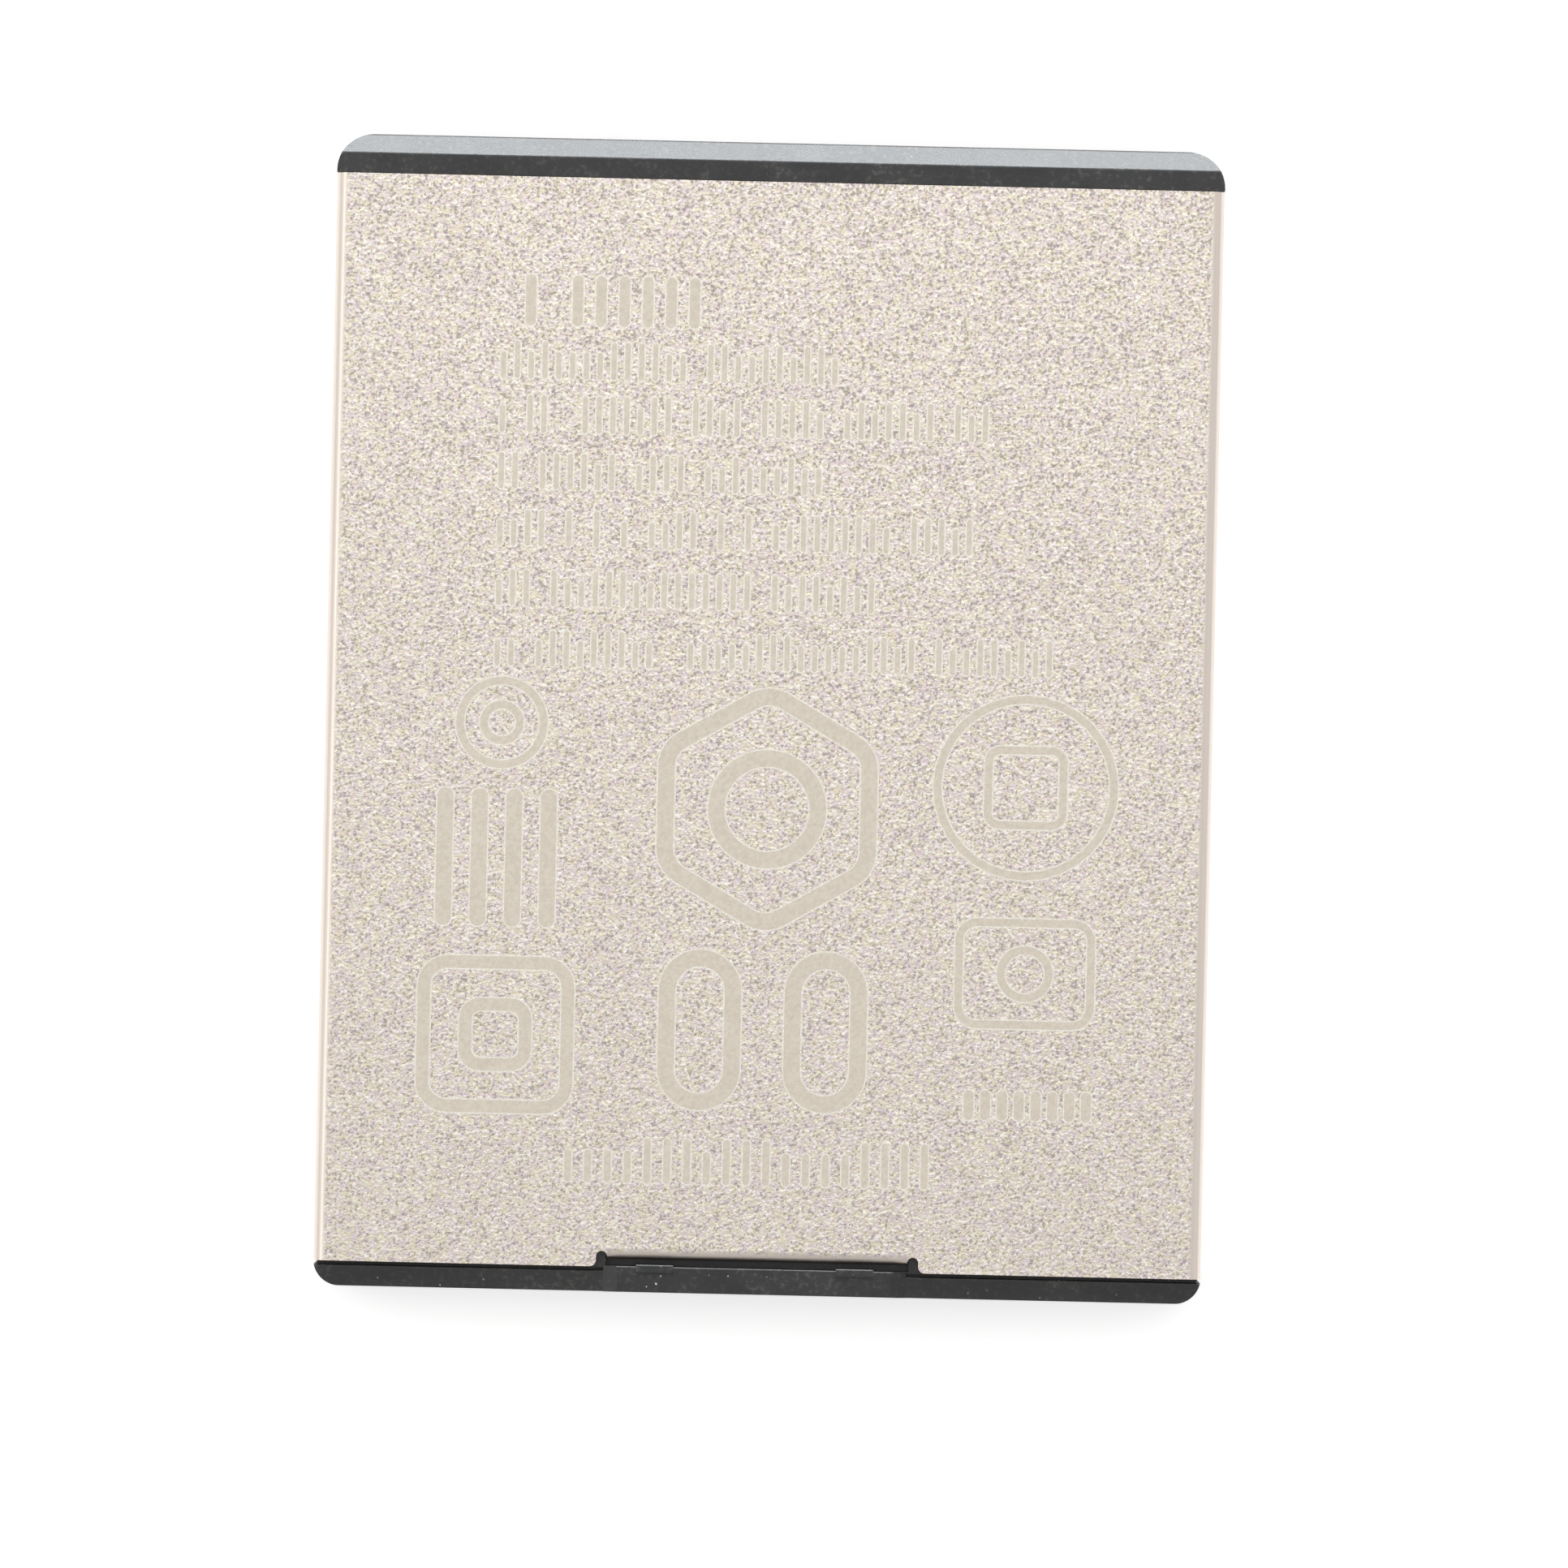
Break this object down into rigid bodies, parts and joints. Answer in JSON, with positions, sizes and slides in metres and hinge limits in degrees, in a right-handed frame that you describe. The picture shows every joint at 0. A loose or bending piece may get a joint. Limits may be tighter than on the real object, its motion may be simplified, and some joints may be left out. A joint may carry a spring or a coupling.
{
  "type": "memory card",
  "caption": "Flat removable memory card with two stamped metal covers over a black moulded frame and a keyed contact slot in one end.",
  "frame": {"origin": "under the middle of the card, on the plane of the front cover that it lies on", "axes": "+X across the card, +Y from the connector end to the grip end, +Z from the front cover to the rear cover"},
  "size_m": [0.0296, 0.0384, 0.0038],
  "materials": {
    "cover_metal": "fine embossed grit, warm silver",
    "frame_plastic": "satin moulded black",
    "insulator": "satin moulded black",
    "contact_metal": "gold plated spring alloy",
    "lug_metal": "tinned",
    "board_laminate": "solder mask",
    "chip_mould": "moulded",
    "capacitor_ceramic": "fired ceramic",
    "thermal_pad": "soft filled silicone"
  },
  "bodies": {
    "root": {"rear_cover": "cover_metal", "front_cover": "cover_metal", "frame": "frame_plastic", "connector_housing": "insulator", "upper_contact_1": "contact_metal", "upper_contact_2": "contact_metal", "upper_contact_3": "contact_metal", "upper_contact_4": "contact_metal", "upper_contact_5": "contact_metal", "upper_contact_6": "contact_metal", "upper_contact_7": "contact_metal", "upper_contact_8": "contact_metal", "upper_contact_9": "contact_metal", "upper_contact_10": "contact_metal", "lower_contact_1": "contact_metal", "lower_contact_2": "contact_metal", "lower_contact_3": "contact_metal", "lower_contact_4": "contact_metal", "lower_contact_5": "contact_metal", "lower_contact_6": "contact_metal", "lower_contact_7": "contact_metal", "lower_contact_8": "contact_metal", "lower_contact_9": "contact_metal", "lower_contact_10": "contact_metal", "hold_down_left": "lug_metal", "hold_down_right": "lug_metal", "circuit_board": "board_laminate", "controller_chip": "chip_mould", "memory_buffer_chip": "chip_mould", "flash_chip_1": "chip_mould", "flash_chip_2": "chip_mould", "flash_chip_3": "chip_mould", "flash_chip_4": "chip_mould", "power_chip": "chip_mould", "inductor_1": "chip_mould", "inductor_2": "chip_mould", "boot_memory_chip": "chip_mould", "oscillator": "lug_metal", "ceramic_capacitors": "capacitor_ceramic", "chip_resistors": "chip_mould", "controller_pad": "thermal_pad", "rear_flash_pad": "thermal_pad", "front_flash_pad": "thermal_pad"}
  },
  "joints": []
}
